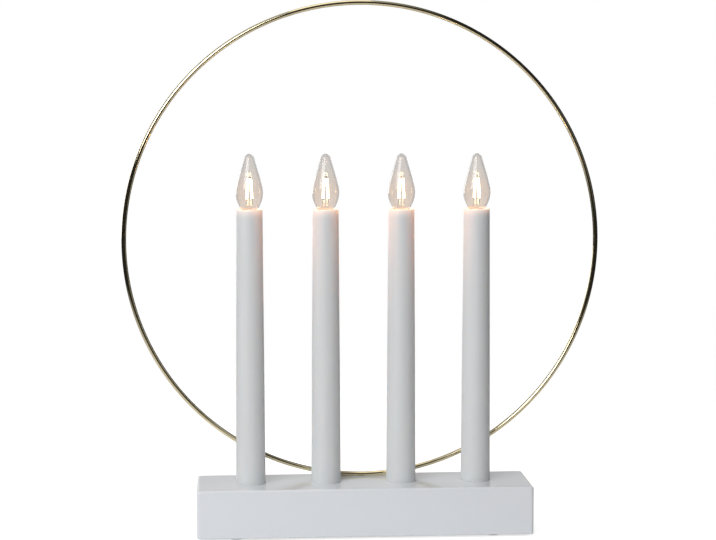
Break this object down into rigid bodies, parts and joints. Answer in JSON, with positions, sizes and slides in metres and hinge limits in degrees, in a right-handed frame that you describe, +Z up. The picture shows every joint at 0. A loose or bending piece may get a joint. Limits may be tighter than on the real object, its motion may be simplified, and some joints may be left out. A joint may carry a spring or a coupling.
{
  "type": "electric candle arch",
  "caption": "Electric candle arch: a row of tapered candle tubes with clear screw-in lamps on an oblong block, in front of a closed wire ring that stands on the block.",
  "frame": {"origin": "on the table, at the middle of the footprint, at the underside of the felt pads", "axes": "+Z up, +X along the row of candles to the right of someone in front of it, +Y to the back, where the ring stands"},
  "size_m": [0.3, 0.05, 0.331],
  "materials": {
    "lacquer": "white satin-gloss lacquer over a routed wood block",
    "cover_board": "bare hardboard",
    "zinc_steel": "zinc plated",
    "felt": "pressed felt",
    "ring_brass": "polished, lacquered",
    "bush_rubber": "white, matte",
    "wire_cover": "soft cover",
    "splice_plastic": "nylon",
    "tube_plastic": "white satin, slightly translucent",
    "holder_plastic": "white moulded",
    "contact_brass": "bare sheet",
    "clear_glass": "clear, smooth",
    "cap_brass": "rolled sheet",
    "cap_black": "black glassy insulator",
    "filament_glow": "phosphor coat, lit",
    "lead_nickel": "nickel wire"
  },
  "bodies": {
    "stand": {"base_block": "lacquer", "bottom_cover": "cover_board", "cover_screws": "zinc_steel", "felt_pads": "felt", "ring": "ring_brass", "ring_stud": "zinc_steel", "ring_washer": "zinc_steel", "ring_nut": "zinc_steel", "cord_bush": "bush_rubber", "lead_wires": "wire_cover", "splice_caps": "splice_plastic", "series_wire_1_2": "wire_cover", "series_wire_2_3": "wire_cover", "series_wire_3_4": "wire_cover", "candle_tube_1": "tube_plastic", "candle_tube_2": "tube_plastic", "candle_tube_3": "tube_plastic", "candle_tube_4": "tube_plastic", "lamp_holder_1": "holder_plastic", "lamp_holder_2": "holder_plastic", "lamp_holder_3": "holder_plastic", "lamp_holder_4": "holder_plastic", "socket_shell_1": "contact_brass", "socket_shell_2": "contact_brass", "socket_shell_3": "contact_brass", "socket_shell_4": "contact_brass", "socket_contact_1": "contact_brass", "socket_contact_2": "contact_brass", "socket_contact_3": "contact_brass", "socket_contact_4": "contact_brass"},
    "bulb_1_tip": {"cap_contact_1": "contact_brass", "cap_insulator_1": "cap_black"},
    "bulb_1": {"bulb_glass_1": "clear_glass", "bulb_cap_1": "cap_brass", "filament_stem_1": "clear_glass", "led_filaments_1": "filament_glow", "filament_leads_1": "lead_nickel"},
    "bulb_2_tip": {"cap_contact_2": "contact_brass", "cap_insulator_2": "cap_black"},
    "bulb_2": {"bulb_glass_2": "clear_glass", "bulb_cap_2": "cap_brass", "filament_stem_2": "clear_glass", "led_filaments_2": "filament_glow", "filament_leads_2": "lead_nickel"},
    "bulb_3_tip": {"cap_contact_3": "contact_brass", "cap_insulator_3": "cap_black"},
    "bulb_3": {"bulb_glass_3": "clear_glass", "bulb_cap_3": "cap_brass", "filament_stem_3": "clear_glass", "led_filaments_3": "filament_glow", "filament_leads_3": "lead_nickel"},
    "bulb_4_tip": {"cap_contact_4": "contact_brass", "cap_insulator_4": "cap_black"},
    "bulb_4": {"bulb_glass_4": "clear_glass", "bulb_cap_4": "cap_brass", "filament_stem_4": "clear_glass", "led_filaments_4": "filament_glow", "filament_leads_4": "lead_nickel"}
  },
  "joints": [
    {"name": "bulb_1_lift", "type": "slide", "parent": "stand", "child": "bulb_1_tip", "axis": [0, 0, 1], "range_m": [0, 0.00726]},
    {"name": "bulb_1_turn", "type": "hinge", "parent": "bulb_1_tip", "child": "bulb_1", "pos_m": [-0.0705, 0, 0.2023], "axis": [0, 0, 1], "range_deg": [0, 1440]},
    {"name": "bulb_2_lift", "type": "slide", "parent": "stand", "child": "bulb_2_tip", "axis": [0, 0, 1], "range_m": [0, 0.00726]},
    {"name": "bulb_2_turn", "type": "hinge", "parent": "bulb_2_tip", "child": "bulb_2", "pos_m": [-0.0235, 0, 0.2023], "axis": [0, 0, 1], "range_deg": [0, 1440]},
    {"name": "bulb_3_lift", "type": "slide", "parent": "stand", "child": "bulb_3_tip", "axis": [0, 0, 1], "range_m": [0, 0.00726]},
    {"name": "bulb_3_turn", "type": "hinge", "parent": "bulb_3_tip", "child": "bulb_3", "pos_m": [0.0235, 0, 0.2023], "axis": [0, 0, 1], "range_deg": [0, 1440]},
    {"name": "bulb_4_lift", "type": "slide", "parent": "stand", "child": "bulb_4_tip", "axis": [0, 0, 1], "range_m": [0, 0.00726]},
    {"name": "bulb_4_turn", "type": "hinge", "parent": "bulb_4_tip", "child": "bulb_4", "pos_m": [0.0705, 0, 0.2023], "axis": [0, 0, 1], "range_deg": [0, 1440]}
  ],
  "couplings": [
    {"joint": "bulb_1_lift", "follows": "bulb_1_turn", "m_per_rad": 0.00028871},
    {"joint": "bulb_2_lift", "follows": "bulb_2_turn", "m_per_rad": 0.00028871},
    {"joint": "bulb_3_lift", "follows": "bulb_3_turn", "m_per_rad": 0.00028871},
    {"joint": "bulb_4_lift", "follows": "bulb_4_turn", "m_per_rad": 0.00028871}
  ]
}
